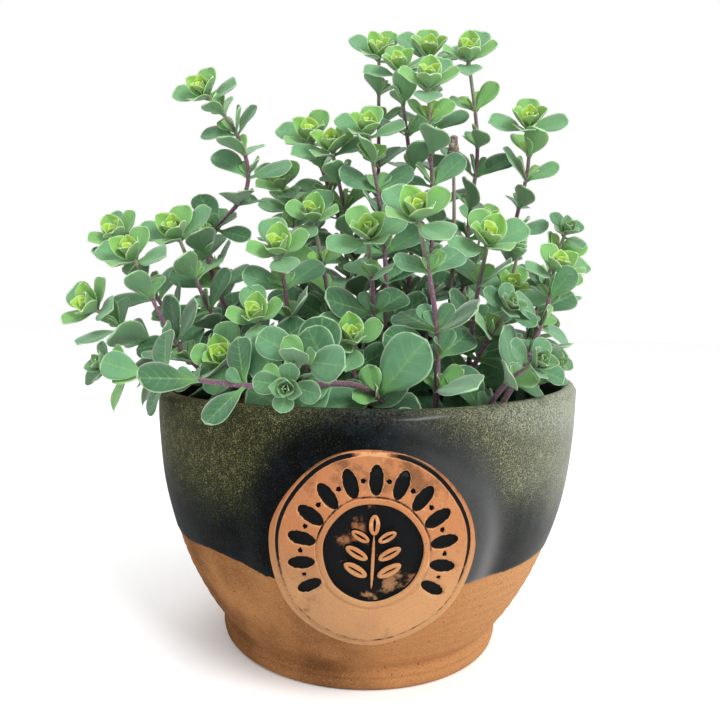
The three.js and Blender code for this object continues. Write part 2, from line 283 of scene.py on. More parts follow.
def makePotFinish():
    c = potColours
    finish = Finish("speckled_satin_glaze_over_clay", Specular_IOR_Level=0.03, Coat_Roughness=0.3)
    sideways, forwards, height = finish.placeInMillimetres()
    clay, grain = bareClay(finish, sideways)
    # moss coloured glaze lies in a broad band below the rim, and stays clear of the medallion
    patch = finish.cloud(26, 4, 0.6)
    low = finish.step(height + patch * 30 + finish.step(sideways, -60, 70) * 3, 68, 90)
    front = 1 - finish.step(forwards, -45, -15)
    away = awayFromMedallion(finish, sideways, height)
    halo = front * (1 - finish.step(away + patch * 8, 36, 48))
    band = low * (1 - halo)
    mottle = finish.step(finish.cloud(160, 4, 0.65), 0.42, 0.7)
    glaze = finish.mix(mottle, c["black"], c["blueBlack"])
    glaze = finish.mix(band * 0.85, glaze, c["mossBase"])
    olive = finish.mix(finish.step(finish.cloud(420, 3), 0.4, 0.7), c["olive"], c["paleOlive"])
    # the right side is paler, with an ash grey cast: painted light on the side the light falls on
    litRightSide = finish.step(sideways, 8, 72)
    olive = finish.mix(litRightSide * 0.45, olive, c["ash"])
    flecks = finish.step(finish.cloud(2700, 2, 0.7) + band * 0.06 + litRightSide * 0.05, 0.53, 0.7)
    glaze = finish.mix(flecks * (band * 0.78 + 0.1), glaze, olive)
    # the band turns greyer on the lit right: more painted light
    glaze = finish.mix(litRightSide * band * 0.16, glaze, c["ash"])
    pits = finish.step(finish.cloud(2300, 2, 0.7), 0.55, 0.66)
    glaze = finish.mix(pits * band * 0.75, glaze, c["blueBlack"])
    # an ash grey bloom on the rim, strongest where it rises on the right; the extra pallor on the lit right
    # is painted light
    nearRim = finish.step(height + litRightSide * 8, 86, 96) * (litRightSide * 0.65 + 0.12)
    bloom = finish.step(finish.cloud(1500, 3, 0.75), 0.42, 0.62)
    glaze = finish.mix(bloom * nearRim, glaze, c["ash"])
    # the lower edge of the glaze breaks up finely over the clay
    edge = finish.attribute("aboveGlaze") + finish.cloud(700, 4, 0.7) * 2.2 - 1.1
    covered = finish.step(edge, -0.15, 0.15)
    colour = finish.mix(covered, clay, glaze)
    colour = finish.mix(finish.attribute("inside") * 0.85, colour, c["black"])
    roughness = 0.88 - covered * (0.36 - flecks * 0.12)
    shine = (halo * finish.step(sideways, -5, 25) * 0.9 + litRightSide * 0.3) * covered
    finish.feed(finish.shader.inputs["Coat Weight"], shine)
    relief = grain * (1.1 - covered) + flecks * 0.3 * covered + mottle * 0.15
    return finish.finish(colour, roughness, relief, 0.6, 0.00035)


medallionShape = {
    "radius": 29, "stretch": 1.075, "height": 53.5, "thickness": 3, "flare": 2,
    "groove": 26.6, "sunk": 14, "depth": 1.2,
    "rings": 170, "sides": 260, "marks": 13, "markRing": 19.8, "markArc": 4.2,
    "markSize": (4.2, 2.0), "dotSize": (0.7, 0.7),
}

sprigShape = {
    "stemMiddle": -2.0, "stemLength": 8.5, "stemWidth": 0.5, "tipHeight": 8.2, "tipSize": (3.1, 1.7),
    "pairs": ((-6.2, 5.4), (-1.4, 5.2), (3.2, 4.2)), "leafWidth": 1.7, "narrower": 0.15,
}


def ovalDepth(x, y, centreX, centreY, turn, halfLength, halfWidth):
    along = (x - centreX) * math.cos(turn) + (y - centreY) * math.sin(turn)
    across = -(x - centreX) * math.sin(turn) + (y - centreY) * math.cos(turn)
    reach = math.hypot(along / halfLength, across / halfWidth)
    return 1 - smooth(0.8, 1.05, reach)


# stamped ovals with a dot between them run over the top and leave the bottom bare
def stampedMarks(x, y):
    shape = medallionShape
    deepest = 0.0
    for mark in range(2 * shape["marks"] - 1):
        turn = math.pi / 2 + shape["markArc"] * (mark / (2 * shape["marks"] - 2) - 0.5)
        cx, cy = shape["markRing"] * math.cos(turn), shape["markRing"] * math.sin(turn)
        size = shape["markSize"] if mark % 2 == 0 else shape["dotSize"]
        deepest = max(deepest, ovalDepth(x, y, cx, cy, turn, *size))
    return deepest


# a raised herb sprig: an upright stem, three pairs of opposite leaves and one at the tip
def sprigHeight(x, y):
    shape = sprigShape
    upright = math.pi / 2
    raised = ovalDepth(x, y, 0, shape["stemMiddle"], upright, shape["stemLength"], shape["stemWidth"])
    veins = 0.0
    leaves = [(0, shape["tipHeight"], upright, *shape["tipSize"])]
    for level, (rise, reach) in enumerate(shape["pairs"]):
        for side in (-1, 1):
            turn = math.atan2(0.55, side)
            width = shape["leafWidth"] - shape["narrower"] * level
            leaves.append((side * reach * 0.86, rise + 1.8, turn, reach * 0.72, width))
    for leaf in leaves:
        raised = max(raised, ovalDepth(x, y, *leaf))
        veins = max(veins, ovalDepth(x, y, *leaf[:3], leaf[3] * 0.62, 0.32))
    return raised - 0.75 * veins


def medallionRelief(distance, x, y):
    shape = medallionShape
    recess = 0.0
    if distance > shape["sunk"]:
        recess = 0.8 * stampedMarks(x, y)
        # the groove is worn away over the top
        kept = 1 - 0.8 * smooth(0.95, 1.0, y / distance)
        recess = max(recess, 0.55 * kept * (1 - smooth(0.35, 0.75, abs(distance - shape["groove"]))))
        recess = max(recess, 0.35 * (1 - smooth(0.2, 0.55, abs(distance - shape["sunk"] - 1.6))))
    recess = max(recess, 1 - smooth(shape["sunk"] - 0.8, shape["sunk"] + 0.1, distance))
    if distance < shape["sunk"]:
        recess -= 0.95 * max(0.0, sprigHeight(x, y))
    return recess


def makeMedallion():
    shape = medallionShape
    top = shape["height"] + shape["radius"] * shape["stretch"]
    vertices, recesses = [], []
    outline = [shape["radius"] * (ring + 0.5) / shape["rings"] for ring in range(shape["rings"])]
    skirt = [(29.15, 0.9), (29.3, 0.7), (29.3, 0.45), (29.3, 0.2), (29.1, 0.0)]
    layers = [(radius, 1.0) for radius in outline] + skirt
    for radius, stand in layers + [(radius, 0.0) for radius in (25, 18, 10, 4)]:
        for side in range(shape["sides"]):
            angle = 2 * math.pi * side / shape["sides"]
            uneven = 1 + 0.008 * math.sin(3 * angle + 1) + 0.006 * math.sin(7 * angle)
            x, rise = radius * uneven * math.cos(angle), radius * uneven * math.sin(angle)
            z = shape["height"] + rise * shape["stretch"]
            flare = shape["flare"] * (top - z) / (2 * shape["radius"] * shape["stretch"])
            back = wallRadius(z) + 0.35
            face = wallRadius(z) + shape["thickness"] + flare + 0.4
            recess = medallionRelief(radius, x, rise) if stand == 1 else 0.0
            rounded = 1.1 * smooth(shape["radius"] - 2.2, shape["radius"], radius) if stand == 1 else 1.1
            step = 0.45 * smooth(shape["groove"], shape["groove"] + 0.7, radius) if stand else 0
            front = face - shape["depth"] * recess - rounded - step
            out = back + (front - back) * stand
            vertices.append((x, -math.sqrt(out * out - x * x), z))
            recesses.append(recess)
    rows = len(layers) + 4
    faces = gridFaces(rows, shape["sides"])
    last = (rows - 1) * shape["sides"]
    faces.append(tuple(range(shape["sides"] - 1, -1, -1)))
    faces.append(tuple(range(last, last + shape["sides"])))
    medallion = makePiece("clay_medallion", vertices, faces, [makeMedallionFinish()], None,
                          {"recess": recesses})
    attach(medallion, "root")
    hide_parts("medallion")


def makeMedallionFinish():
    c = potColours
    finish = Finish("stamped_clay_with_pooled_glaze", Specular_IOR_Level=0.1)
    sideways, _, height = finish.placeInMillimetres()
    clay, grain = bareClay(finish, sideways * 0.7)
    upper = finish.step(height, 38, 62)
    # the upper half is a redder clay; the lower half is paler, which is painted light where the disc faces up
    clay = finish.mix(upper * 0.6, clay, c["redClay"])
    clay = finish.mix((1 - upper) * 0.4, clay, c["paleClay"])
    # glaze fills the stamped marks, and the lower half of the groove is nearly bare
    hollow = finish.attribute("recess")
    ragged = finish.cloud(420, 4, 0.7) * 0.5 - 0.25
    groove = (1 - upper) * (1 - finish.step(hollow, 0.52, 0.62)) * 0.34
    recess = hollow + ragged - groove
    pooled = finish.step(recess, 0.22, 0.40)
    # thin smears of glaze over the upper edge and bare clay smears in the sunk centre
    smear = finish.cloud(70, 4, 0.65)
    smudge = finish.step(smear + finish.step(height, 50, 86) * 0.2, 0.60, 0.74) * 0.6
    colour = finish.mix(smudge, clay, c["speck"])
    # the rims of the hollows are paler: partly worn clay, partly a painted highlight on the raised edges
    wornEdgeAndHighlight = finish.step(recess, 0.04, 0.14) * (1 - finish.step(recess, 0.14, 0.24))
    colour = finish.mix(wornEdgeAndHighlight * 0.7, colour, c["paleClay"])
    bareSmear = finish.step(finish.cloud(130, 4, 0.6), 0.56, 0.66) * finish.step(hollow, 0.9, 1.0) * 0.6
    colour = finish.mix(pooled * (1 - bareSmear), colour, c["black"])
    # the pot's glaze laps raggedly over the upper edge
    lap = finish.step(awayFromMedallion(finish, sideways, height) + ragged * 4, 27.4, 28.8)
    colour = finish.mix(lap * finish.step(height, 58, 78), colour, c["black"])
    return finish.finish(colour, 0.85 - pooled * 0.3, grain + smear * 0.4, 0.6, 0.0003)


soilShape = {"top": 80.0, "bottom": 12.0, "rings": 64, "sides": 150, "crumbs": 700, "crumbSize": (0.5, 1.7)}
soilColours = {"dark": (0.012, 0.008, 0.005), "brown": (0.055, 0.035, 0.02), "crumb": (0.09, 0.055, 0.03)}


def crumb(centre, size, turn):
    corners = [Vector(c) for c in ((1, 0, 0), (-1, 0, 0), (0, 1, 0), (0, -1, 0), (0, 0, 1), (0, 0, -1))]
    points = [centre + turn @ (corner * size * random.uniform(0.7, 1.2)) for corner in corners]
    faces = [(0, 2, 4), (2, 1, 4), (1, 3, 4), (3, 0, 4), (2, 0, 5), (1, 2, 5), (3, 1, 5), (0, 3, 5)]
    return points, faces


def makeSoil():
    random.seed(5)
    shape = soilShape
    reach = wallRadius(shape["top"]) - potShape["wall"] - 0.4
    vertices, tones = [], []
    for ring in range(shape["rings"]):
        radius = reach * (ring + 0.3) / (shape["rings"] - 0.7)
        for side in range(shape["sides"]):
            angle = 2 * math.pi * side / shape["sides"]
            x, y = radius * math.cos(angle), radius * math.sin(angle)
            rise = 1.4 * wobble(x, y, 0, 0.07) + 0.9 * wobble(x, y, 3, 0.3) + 0.5 * wobble(x, y, 7, 0.9)
            vertices.append((x, y, shape["top"] + rise))
            tones.append(0.5)
    for height in (60.0, 36.0, shape["bottom"] + 4):
        for side in range(shape["sides"]):
            angle = 2 * math.pi * side / shape["sides"]
            radius = wallRadius(height) - potShape["wall"] - 0.6
            vertices.append((radius * math.cos(angle), radius * math.sin(angle), height))
            tones.append(0.5)
    rows = shape["rings"] + 3
    faces = gridFaces(rows, shape["sides"])
    last = (rows - 1) * shape["sides"]
    faces.append(tuple(range(shape["sides"] - 1, -1, -1)))
    faces.append(tuple(range(last, last + shape["sides"])))
    for _ in range(shape["crumbs"]):
        angle, radius = random.uniform(0, 2 * math.pi), (reach - 3) * math.sqrt(random.random())
        centre = Vector((radius * math.cos(angle), radius * math.sin(angle), shape["top"] + 0.7))
        axis = Vector((random.uniform(-1, 1), random.uniform(-1, 1), random.uniform(0.2, 1)))
        size = random.uniform(*shape["crumbSize"])
        points, made = crumb(centre, size, Quaternion(axis, random.uniform(0, 3)))
        start, tone = len(vertices), random.random()
        vertices += points
        tones += [tone] * len(points)
        faces += [tuple(start + corner for corner in face) for face in made]
    soil = makePiece("crumbly_soil", vertices, faces, [makeSoilFinish()], None, {"tone": tones})
    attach(soil, "root")
    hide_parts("soil")


def makeSoilFinish():
    c = soilColours
    finish = Finish("dark_potting_soil", Specular_IOR_Level=0.2)
    crumbs = finish.cloud(500, 5, 0.7)
    colour = finish.mix(finish.attribute("tone"), c["dark"], c["brown"])
    colour = finish.mix(finish.step(crumbs, 0.5, 0.75), colour, c["crumb"])
    return finish.finish(colour, 0.95, crumbs, 0.9, 0.0008)


plantShape = {
    "rootDepth": 5, "nodeSpacing": 8.6, "leafLength": 15.5, "leafWidth": 10.2, "stemRadius": 1.0,
    "stemSides": 10, "leafThickness": 0.42, "tipLean": 1.25, "lightPull": 1.9,
    "petiole": 0.15, "stalk": 0.12, "tuft": (6.0, 10.5), "tuftWidth": 0.68, "tuftPairs": 2,
    "bracts": 5, "bractLength": 4.6, "bractWidth": 3.4, "bractSpacing": 1.3, "budWhorls": 6, "dryWhorls": 7,
    "smallTips": {"shoot_front_hanging": 0.62, "shoot_trailing": 0.75, "shoot_front_right_low": 0.8,
                  "shoot_right_low": 0.6, "shoot_right_inner_low": 0.7, "shoot_right_outer": 0.7},
}

# name, share of the stem that is bare, kind and route; the routes are the same as the CAD model's
shoots = [
    ("shoot_left_tall", 0.3, "leafy",
     [(-38, 8, 80), (-52, 6, 112), (-61, 2, 140), (-47, 0, 162), (-50, -2, 180), (-62, -4, 195)]),
    ("shoot_left_inner", 0.35, "leafy", [(-34, -6, 80), (-56, -7, 113), (-71, -6, 145)]),
    ("shoot_left_front", 0.4, "leafy", [(-44, -16, 80), (-68, -19, 107), (-83, -18, 136)]),
    ("shoot_left_outer", 0.4, "leafy", [(-46, 4, 80), (-73, 4, 111), (-94, 2, 143)]),
    ("shoot_left_low", 0.4, "leafy", [(-52, -6, 80), (-64, -10, 101), (-84, -14, 108), (-98, -14, 117)]),
    ("shoot_trailing", 0.5, "leafy",
     [(12, -42, 80), (-4, -58, 97), (-30, -65, 97), (-58, -50, 97), (-78, -32, 96), (-90, -25, 98)]),
    ("shoot_front_hanging", 0.5, "leafy", [(-16, -46, 80), (-20, -62, 104), (-24, -80, 99)]),
    ("shoot_front_left_low", 0.35, "leafy", [(-38, -26, 80), (-44, -32, 92), (-48, -36, 102)]),
    ("shoot_front_left", 0.35, "leafy", [(-28, -34, 80), (-34, -35, 100), (-38, -36, 117)]),
    ("shoot_middle_left_front", 0.3, "leafy", [(-24, -20, 80), (-28, -22, 112), (-32, -24, 138)]),
    ("shoot_middle_left", 0.3, "leafy", [(-14, -8, 80), (-15, -8, 118), (-22, -8, 153)]),
    ("shoot_middle_back_left", 0.3, "leafy", [(-10, 16, 80), (-9, 14, 138), (-24, 12, 184)]),
    ("shoot_centre_left", 0.3, "leafy", [(-2, 4, 80), (-5, 4, 130), (-16, 2, 178)]),
    ("shoot_centre", 0.3, "leafy", [(6, -6, 80), (5, -4, 136), (-3, -6, 183)]),
    ("shoot_centre_front", 0.3, "leafy", [(0, -26, 80), (0, -30, 118), (-3, -34, 143)]),
    ("shoot_front_centre_low", 0.35, "leafy", [(-4, -42, 80), (-6, -45, 97), (-7, -46, 110)]),
    ("shoot_front_right", 0.3, "leafy", [(19, -50, 80), (18, -51, 115), (11, -49, 149)]),
    ("shoot_tall_middle", 0.35, "leafy", [(12, 12, 80), (16, 11, 155), (8, 8, 210)]),
    ("shoot_tall_right_middle", 0.35, "leafy", [(20, -4, 80), (22, -2, 146), (18, -5, 201)]),
    ("shoot_tall_back_left", 0.35, "leafy", [(2, 28, 80), (3, 28, 158), (1, 22, 220)]),
    ("shoot_tall_back", 0.35, "leafy", [(24, 26, 80), (26, 24, 156), (20, 18, 219)]),
    ("shoot_tall_right", 0.35, "leafy", [(34, 12, 80), (38, 12, 153), (40, 12, 184), (34, 8, 217)]),
    ("shoot_right_back", 0.35, "leafy", [(46, 8, 80), (54, 8, 146), (59, 8, 175), (57, 4, 191)]),
    ("shoot_right_middle", 0.3, "leafy", [(33, -24, 80), (34, -26, 117), (37, -29, 143)]),
    ("shoot_right_front", 0.35, "leafy", [(36, -40, 80), (49, -37, 103), (57, -31, 121), (61, -27, 135)]),
    ("shoot_right_outer", 0.4, "leafy", [(54, 0, 80), (64, -1, 126), (72, -2, 151)]),
    ("shoot_right_low", 0.4, "leafy", [(48, -20, 80), (56, -22, 94), (64, -24, 103)]),
    ("shoot_right_inner_low", 0.35, "leafy", [(26, -33, 80), (35, -34, 106), (43, -38, 122)]),
    ("shoot_front_right_low", 0.4, "leafy", [(28, -54, 80), (37, -58, 98), (46, -60, 106)]),
    ("shoot_budding", 0.4, "budding", [(44, -8, 80), (48, -10, 119), (53, -12, 147)]),
    ("dry_seed_head", 0.85, "dry", [(29, 4, 80), (31, 3, 140), (29, 1, 180)]),
    ("shoot_back_left", 0.3, "leafy", [(-22, 38, 80), (-28, 44, 125), (-33, 48, 163)]),
    ("shoot_back_far_left", 0.35, "leafy", [(-42, 28, 80), (-58, 34, 118), (-70, 38, 148)]),
    ("shoot_back_middle_left", 0.3, "leafy", [(-22, 20, 80), (-25, 22, 130), (-36, 22, 168)]),
    ("shoot_back_right", 0.3, "leafy", [(34, 42, 80), (44, 46, 125), (52, 50, 160)]),
    ("shoot_back_far_right", 0.35, "leafy", [(54, 22, 80), (68, 26, 110), (80, 30, 134)]),
    ("shoot_back_middle", 0.3, "leafy", [(12, 46, 80), (13, 50, 125), (15, 54, 158)]),
]


# a smooth path through the route, as evenly spaced points
def stemPath(route, spacing=1.5):
    points = [Vector(p) for p in route]
    points.insert(0, points[0] - Vector((0, 0, plantShape["rootDepth"])))
    padded = [2 * points[0] - points[1]] + points + [2 * points[-1] - points[-2]]
    dense = []
    for a, b, c, d in zip(padded, padded[1:], padded[2:], padded[3:]):
        for i in range(24):
            t = i / 24
            dense.append(0.5 * (2 * b + (c - a) * t + (2 * a - 5 * b + 4 * c - d) * t * t
                                + (3 * b - a - 3 * c + d) * t ** 3))
    dense.append(points[-1])
    path, walked = [dense[0]], 0.0
    for first, second in zip(dense, dense[1:]):
        walked += (second - first).length
        if walked >= spacing:
            path.append(second)
            walked = 0.0
    return path


class Growth:
    # gathers the mesh of a shoot or of the fallen leaves
    def __init__(self):
        self.vertices, self.faces, self.materialOf = [], [], []
        self.across, self.along, self.tone, self.under = [], [], [], []

    def add(self, points, faces, material, across, along, tone, under):
        start = len(self.vertices)
        self.vertices += points
        self.faces += [tuple(start + corner for corner in face) for face in faces]
        self.materialOf += [material] * len(faces)
        self.across += across
        self.along += along
        self.tone += [tone] * len(points)
        self.under += under


def addStem(growth, path, startRadius, endRadius, tone=0.0):
    sides = plantShape["stemSides"]
    points, along = [], []
    side = Vector((1, 0, 0))
    for index, centre in enumerate(path):
        ahead = path[min(index + 1, len(path) - 1)] - path[max(index - 1, 0)]
        ahead.normalize()
        side = (side - ahead * side.dot(ahead)).normalized()
        other = ahead.cross(side)
        share = index / (len(path) - 1)
        radius = startRadius + (endRadius - startRadius) * share
        for corner in range(sides):
            angle = 2 * math.pi * corner / sides
            # young marjoram stems are softly square
            square = 1 + 0.08 * math.cos(4 * angle)
            points.append(centre + (side * math.cos(angle) + other * math.sin(angle)) * radius * square)
            along.append(share)
    faces = gridFaces(len(path), sides)
    last = (len(path) - 1) * sides
    faces.append(tuple(range(sides - 1, -1, -1)))
    faces.append(tuple(range(last, last + sides)))
    growth.add(points, faces, 1, [0.5] * len(points), along, tone, [0.0] * len(points))


# half a leaf's width along its length: a short stalk, then an oval that is widest past the middle;
# young leaves have hardly any stalk and a pointed end
def leafHalfWidth(share, young):
    if young:
        return share ** 0.55 * (1 - share ** 2) ** 0.85 / 0.535
    blade = max(0.0, (share - plantShape["stalk"]) / (1 - plantShape["stalk"]))
    oval = blade ** 0.72 * (1 - blade ** 2.2) ** 0.5 / 0.569
    return max(oval, plantShape["petiole"] * (1 - share))


def addLeaf(growth, base, along, face, length, width, tone, cup, curl, columns=7, rows=10, young=False):
    across = along.cross(face).normalized()
    half = columns // 2
    points, acrossOf, alongOf, underOf = [], [], [], []
    for layer in (1, -1):
        for row in range(rows):
            share = 1 - (1 - row / (rows - 1)) ** 1.5
            reach = 0.5 * width * (leafHalfWidth(share, young) if row < rows - 1 else 0.1)
            for column in range(columns):
                u = (column - half) / half
                thick = plantShape["leafThickness"] * (length / 14) * (1 - 0.75 * u * u) * 0.5
                lift = cup * reach * abs(u) ** 1.6 - curl * length * share * share
                crease = -0.05 * reach * (1 - min(1.0, abs(u) * 3))
                edge = 0.02 * length * math.sin(9 * share + 3 * u + tone * 5) * abs(u)
                points.append(base + along * (length * share) + across * (u * reach)
                              + face * (lift + crease + edge + layer * thick))
                acrossOf.append(u * 0.5 + 0.5)
                alongOf.append(share)
                underOf.append(0.0 if layer == 1 else 1.0)
    count = rows * columns
    top = gridFaces(rows, columns, 0, False)
    bottom = [tuple(reversed(f)) for f in gridFaces(rows, columns, count, False)]
    rim = list(range(columns))
    rim += [row * columns + columns - 1 for row in range(1, rows)]
    rim += [(rows - 1) * columns + column for column in range(columns - 2, -1, -1)]
    rim += [row * columns for row in range(rows - 2, 0, -1)]
    edges = [(b, a, a + count, b + count) for a, b in zip(rim, rim[1:] + rim[:1])]
    growth.add(points, top + bottom + edges, 0, acrossOf, alongOf, tone, underOf)


class Crowd:
    # remembers where leaves are, so that new ones can turn away from them
    def __init__(self, cell=7.0):
        self.cell = cell
        self.cells = {}

    def key(self, point):
        return tuple(int(math.floor(value / self.cell)) for value in point)

    def crossing(self, samples, shoot):
        total = 0.0
        for point, radius in samples:
            kx, ky, kz = self.key(point)
            for x in (kx - 1, kx, kx + 1):
                for y in (ky - 1, ky, ky + 1):
                    for z in (kz - 1, kz, kz + 1):
                        for other, size, owner in self.cells.get((x, y, z), ()):
                            overlap = radius + size - (point - other).length
                            if overlap > 0:
                                total += overlap * (1.0 if owner != shoot else 0.35)
        return total

    def put(self, samples, shoot):
        for point, radius in samples:
            self.cells.setdefault(self.key(point), []).append((point, radius, shoot))


def leafSamples(base, along, length, width):
    spots = ((0.45, 0.22), (0.7, 0.3), (0.9, 0.22))
    return [(base + along * length * share, width * size) for share, size in spots]


# where a leaf may not be: in the wall below the rim's top, in the soil, or far down outside the pot
keepClear = {
    "rimTop": 95, "wallInside": 68, "wallOutside": 76.5, "soilTop": 81.5, "outside": 80, "lowest": 70,
}


def insidePot(samples):
    clear = keepClear
    for point, radius in samples:
        distance = math.hypot(point.x, point.y)
        inWall = clear["wallInside"] - radius < distance < clear["wallOutside"] + radius * 0.7
        if point.z - radius < clear["rimTop"] and inWall:
            return True
        if point.z < clear["soilTop"]:
            return distance < clear["outside"] or point.z < clear["lowest"]
    return False


# leaves turn their upper faces forwards and up to the window; at the back they turn outwards
def towardsLight(base, along, face):
    radial = Vector((base.x, base.y, 0))
    radial = radial.normalized() if radial.length > 1 else radial
    back = smooth(18, 42, base.y)
    light = radial * (0.3 + 0.7 * back) + Vector((0, -0.85 * (1 - back), 0.42))
    light -= along * light.dot(along)
    turned = face + light * plantShape["lightPull"]
    return (turned - along * turned.dot(along)).normalized()


def leafFrame(stem, turn, spread):
    side = Vector((1, 0, 0)) - stem * stem.x
    if side.length < 0.05:
        side = Vector((0, 1, 0)) - stem * stem.y
    outward = Matrix.Rotation(turn, 3, stem) @ side.normalized()
    along = outward * math.sin(spread) + stem * math.cos(spread)
    face = -outward * math.cos(spread) + stem * math.sin(spread)
    return along, face


def growLeaf(growth, crowd, shoot, base, stem, turn, spread, length, width, tone, cup, curl,
             small=False, turnsToLight=True, young=False):
    best = None
    nudges = (0.0,) if small else (0.0, 0.35, -0.35, 0.7, -0.7)
    for nudge in nudges:
        along, face = leafFrame(stem, turn + nudge, spread)
        if turnsToLight:
            face = towardsLight(base, along, face)
        samples = leafSamples(base, along, length, width)
        score = crowd.crossing(samples, shoot) + abs(nudge) * 0.8
        if insidePot(samples):
            score += 1000
        if best is None or score < best[0]:
            best = (score, along, face, samples)
    if best[0] >= 1000:
        return
    if best[0] > 9 and not small:
        length, width = length * 0.75, width * 0.75
    columns, rows = (5, 7) if small else (7, 10)
    addLeaf(growth, base, best[1], best[2], length, width, tone, cup, curl, columns, rows, young)
    crowd.put(best[3], shoot)


# crossed pairs from the outside in: spread in radians, share of the leaf length, tone, fullness, young
rosettePairs = [
    (1.25, 0.86, 0.34, 0.66, False), (1.0, 0.70, 0.50, 0.72, False), (0.82, 0.60, 0.66, 0.8, True),
    (0.62, 0.47, 0.8, 0.84, True), (0.42, 0.35, 0.92, 0.86, True), (0.22, 0.24, 1.0, 0.86, True),
]


# tight crossed pairs that grow smaller, paler and more upright towards the centre
def growRosette(growth, crowd, shoot, tip, stem, turn, size, shade):
    for level, (spread, share, tone, fullness, young) in enumerate(rosettePairs):
        base = tip - stem * (2.6 - 0.55 * level)
        for side in (0, math.pi):
            length = plantShape["leafLength"] * share * size
            lean = spread + random.uniform(-0.08, 0.08)
            growLeaf(growth, crowd, shoot, base, stem, turn + level * math.pi / 2 + side, lean, length,
                     length * fullness, tone * shade, 0.55 if young else 0.3, -0.16 if young else 0.0,
                     level > 3, False, young)


def growLeafyShoot(growth, crowd, shoot, path, bare):
    spacing = plantShape["nodeSpacing"]
    length = 1.5 * len(path)
    low = bare * 0.45
    count = max(3, round((1 - low) * length / spacing))
    phase = random.uniform(0, math.pi)
    for node in range(count):
        share = low + (0.985 - low) * (node / count) ** 0.92
        index = min(int(share * (len(path) - 1)), len(path) - 2)
        base = path[index]
        stem = (path[index + 1] - base).normalized()
        young = smooth(0.55, 1.0, node / count)
        tone = 0.14 + 0.32 * young + random.uniform(-0.14, 0.14)
        turn = phase + node * math.pi / 2 + random.uniform(-0.25, 0.25)
        for side in (0, math.pi):
            size = (1.12 - 0.3 * young) * random.uniform(0.8, 1.14)
            size *= 1 + 0.28 * (1 - smooth(0.0, 0.4, node / count))
            spread = 1.1 - 0.25 * young + random.uniform(-0.25, 0.22)
            leafLength = plantShape["leafLength"] * size
            growLeaf(growth, crowd, shoot, base, stem, turn + side, spread, leafLength,
                     plantShape["leafWidth"] * size * random.uniform(0.92, 1.08), tone,
                     random.uniform(0.04, 0.24), random.uniform(-0.04, 0.14))
            # a small tuft sits in the leaf's axil
            for pair in range(plantShape["tuftPairs"]):
                tuft = random.uniform(*plantShape["tuft"]) * (1 - 0.3 * pair)
                growLeaf(growth, crowd, shoot, base + stem * 0.8, stem,
                         turn + side + random.choice((-1, 1)) * random.uniform(0.4, 0.9),
                         random.uniform(0.5, 1.0), tuft, tuft * plantShape["tuftWidth"], tone + 0.22,
                         0.35, 0.0, True)
    tip = path[-1]
    stem = (path[-1] - path[-3]).normalized()
    lean = (stem + Vector((0, -plantShape["tipLean"], 0.25))).normalized()
    small = plantShape["smallTips"].get(shoot, 1.0)
    size = small * random.uniform(1.02, 1.24)
    shade = 0.5 if small < 1 else 1.0
    growRosette(growth, crowd, shoot, tip, lean, phase + count * math.pi / 2, size, shade)


def growHead(growth, crowd, shoot, path, tone, whorls):
    # close whorls of small overlapping bracts
    shape = plantShape
    tip = path[-1]
    stem = (path[-1] - path[-3]).normalized()
    for whorl in range(whorls):
        base = tip - stem * (whorl * shape["bractSpacing"])
        for bract in range(shape["bracts"]):
            turn = bract * 2 * math.pi / shape["bracts"] + whorl * 0.63
            growLeaf(growth, crowd, shoot, base, stem, turn, 0.45 + 0.09 * whorl,
                     shape["bractLength"], shape["bractWidth"], tone + random.uniform(-0.05, 0.05),
                     0.5, -0.25, True, False)


fallenShape = {"count": 9, "across": (-44, -30), "forwards": (-46, -32), "lift": (2, 7), "length": (6, 10),
               "width": 0.6, "cup": 0.6, "curl": -0.2}
fallenColours = {"dark": (0.10, 0.045, 0.022), "brown": (0.26, 0.14, 0.07), "pale": (0.34, 0.22, 0.13)}


# a small clump of dropped brown leaves in the shade at the front left
def makeFallenLeaves():
    random.seed(23)
    shape = fallenShape
    growth = Growth()
    for _ in range(shape["count"]):
        spot = (random.uniform(*shape["across"]), random.uniform(*shape["forwards"]))
        base = Vector((*spot, soilShape["top"] + random.uniform(*shape["lift"])))
        turn = random.uniform(0, 2 * math.pi)
        along = Vector((math.cos(turn), math.sin(turn), random.uniform(-0.1, 0.25))).normalized()
        face = Vector((random.uniform(-0.4, 0.4), random.uniform(-0.4, 0.4), 1))
        face = (face - along * face.dot(along)).normalized()
        length = random.uniform(*shape["length"])
        addLeaf(growth, base, along, face, length, length * shape["width"], random.random(),
                shape["cup"], shape["curl"], 5, 6)
    growth.materialOf = [0] * len(growth.faces)
    piece = makePiece("fallen_dry_leaves", growth.vertices, growth.faces, [makeFallenFinish()], None,
                      {"tone": growth.tone})
    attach(piece, "root")


def makeFallenFinish():
    c = fallenColours
    finish = Finish("dropped_brown_leaf", Specular_IOR_Level=0.2)
    patch = finish.cloud(300, 4, 0.6)
    colour = finish.mix(finish.attribute("tone"), c["dark"], c["brown"])
    colour = finish.mix(finish.step(patch, 0.45, 0.7) * 0.5, colour, c["pale"])
    return finish.finish(colour, 0.9, patch, 0.7, 0.0004)


